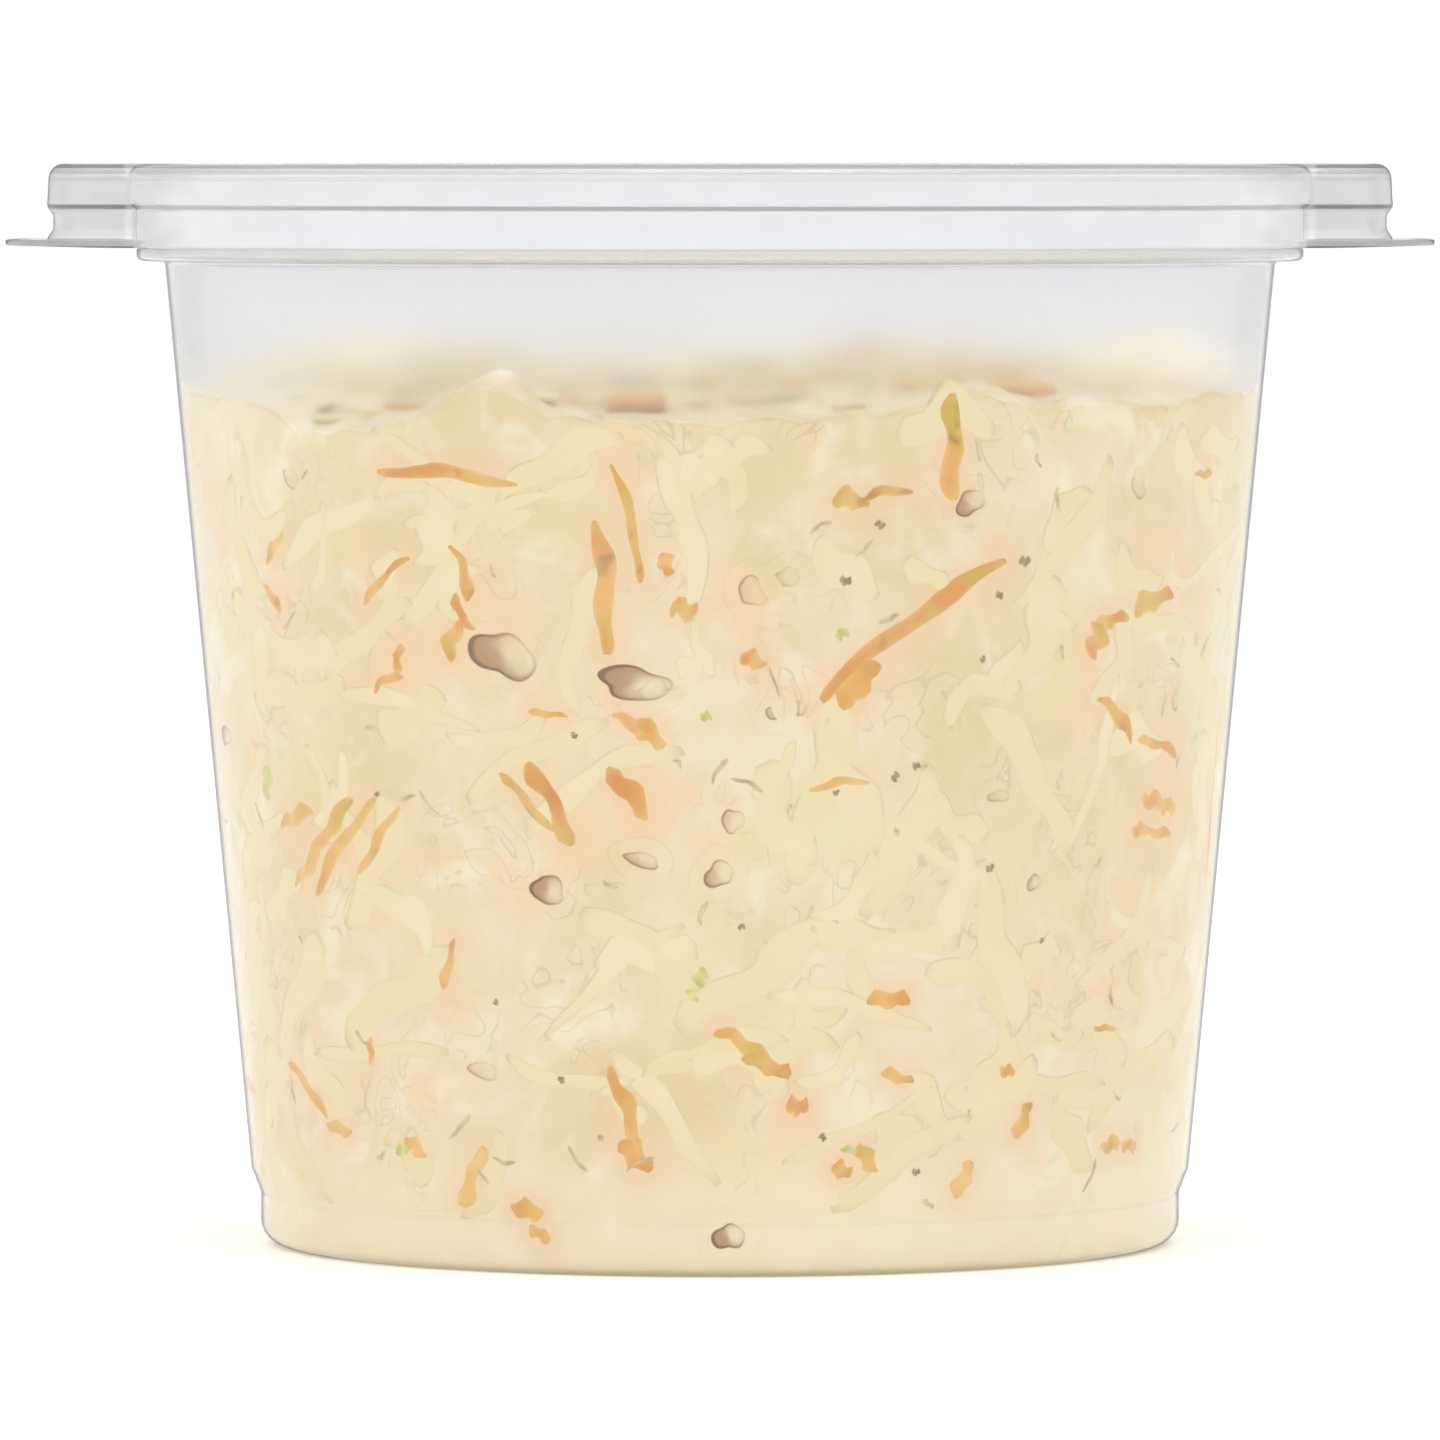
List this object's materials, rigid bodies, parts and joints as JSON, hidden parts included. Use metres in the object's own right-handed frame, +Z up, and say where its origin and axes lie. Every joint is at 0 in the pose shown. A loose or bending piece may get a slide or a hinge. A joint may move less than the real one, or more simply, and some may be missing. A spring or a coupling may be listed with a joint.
{
  "type": "tub of coleslaw",
  "caption": "Round tapered clear deli tub of creamy coleslaw, shut by a dished clear press-on lid with a thin finger tab on each side.",
  "frame": {"origin": "middle of the base, at the height of the surface the tub stands on", "axes": "+Z up along the tub's axis; the lid's finger tabs point along +X and -X; -Y is the front"},
  "size_m": [0.1262, 0.1054, 0.0958],
  "materials": {
    "tub_plastic": "clear, faintly cloudy polypropylene, glossy",
    "lid_plastic": "clear, faintly cloudy polypropylene, glossy",
    "coleslaw": "creamy dressing over pale cabbage, with orange carrot shreds and green flecks, moist"
  },
  "bodies": {
    "root": {"cup": "tub_plastic", "lid": "lid_plastic", "coleslaw": "coleslaw"}
  },
  "joints": []
}
